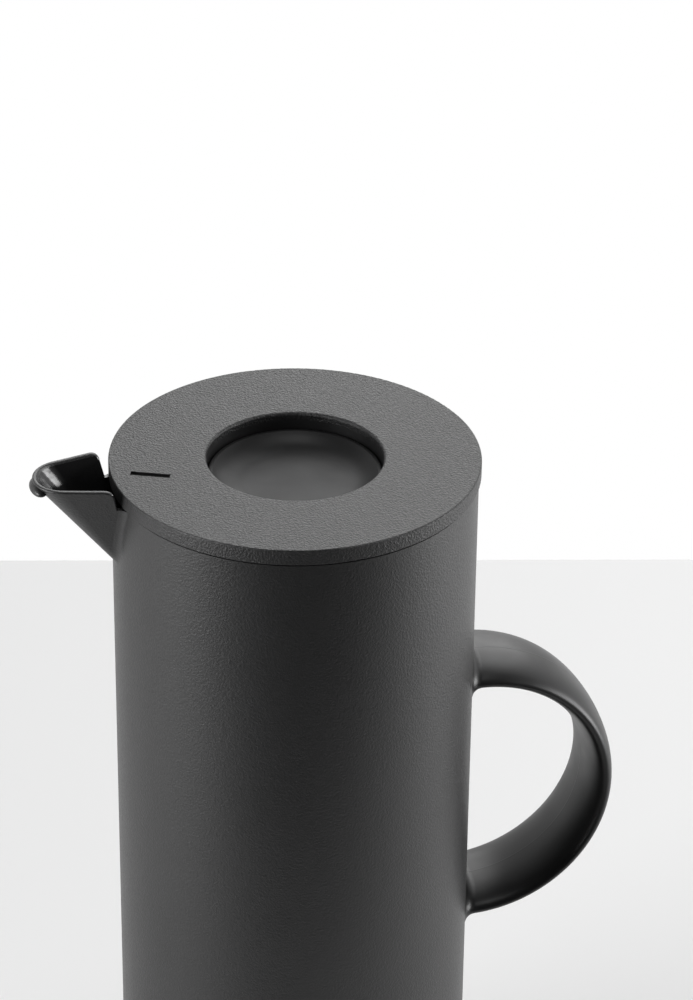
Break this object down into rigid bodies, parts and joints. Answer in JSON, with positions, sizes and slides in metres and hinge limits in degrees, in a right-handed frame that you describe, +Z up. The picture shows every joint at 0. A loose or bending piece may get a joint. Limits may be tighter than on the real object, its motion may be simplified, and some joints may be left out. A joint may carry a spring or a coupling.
{
  "type": "thermal carafe",
  "caption": "Tall round black vacuum jug with a pouring spout, a bow handle and a lift-out stopper lid whose recessed push button opens a valve.",
  "frame": {"origin": "on the table under the jug's axis, in the plane of the foot ring", "axes": "+Z up along the jug's axis, spout along -X, handle along +X"},
  "size_m": [0.1807, 0.1102, 0.2919],
  "materials": {
    "shell_plastic": "fine spark-eroded grain, black",
    "handle_plastic": "satin black",
    "lid_plastic": "fine grain, black",
    "button_plastic": "smooth black",
    "inner_plastic": "plain black moulding",
    "silvered_glass": "silvered vacuum glass",
    "spacer_pad": "pressed fibre pad",
    "silicone": "pale silicone",
    "foot_rubber": "black rubber",
    "steel": "plain steel"
  },
  "bodies": {
    "jug": {"outer_shell": "shell_plastic", "handle": "handle_plastic", "handle_screws": "steel", "inner_flask": "silvered_glass", "outer_flask": "silvered_glass", "flask_spacers": "spacer_pad", "neck_collar": "inner_plastic", "collar_gasket": "silicone", "neck_gasket": "silicone", "base_cap": "inner_plastic", "base_seal": "silicone", "foot_ring": "foot_rubber", "flask_cushion": "foot_rubber"},
    "seal_ring": {"lid_seal": "silicone"},
    "lid": {"lid_cover": "lid_plastic", "stopper_body": "inner_plastic", "lid_screws": "steel", "stem_seal": "silicone", "return_spring": "steel"},
    "button": {"push_button": "button_plastic", "valve_stem": "inner_plastic", "valve_gasket": "silicone", "valve_plate": "inner_plastic", "valve_screw": "steel"}
  },
  "joints": [
    {"name": "lid_lift", "type": "slide", "parent": "jug", "child": "seal_ring", "axis": [0, 0, 1], "range_m": [0, 0.065]},
    {"name": "lid_turn", "type": "hinge", "parent": "seal_ring", "child": "lid", "pos_m": [0, 0, 0.252], "axis": [0, 0, 1], "continuous": true},
    {"name": "button_press", "type": "slide", "parent": "lid", "child": "button", "axis": [0, 0, -1], "range_m": [0, 0.005], "stiffness_N_per_m": 400, "springref_m": -0.01, "deforming": ["return_spring"]}
  ]
}
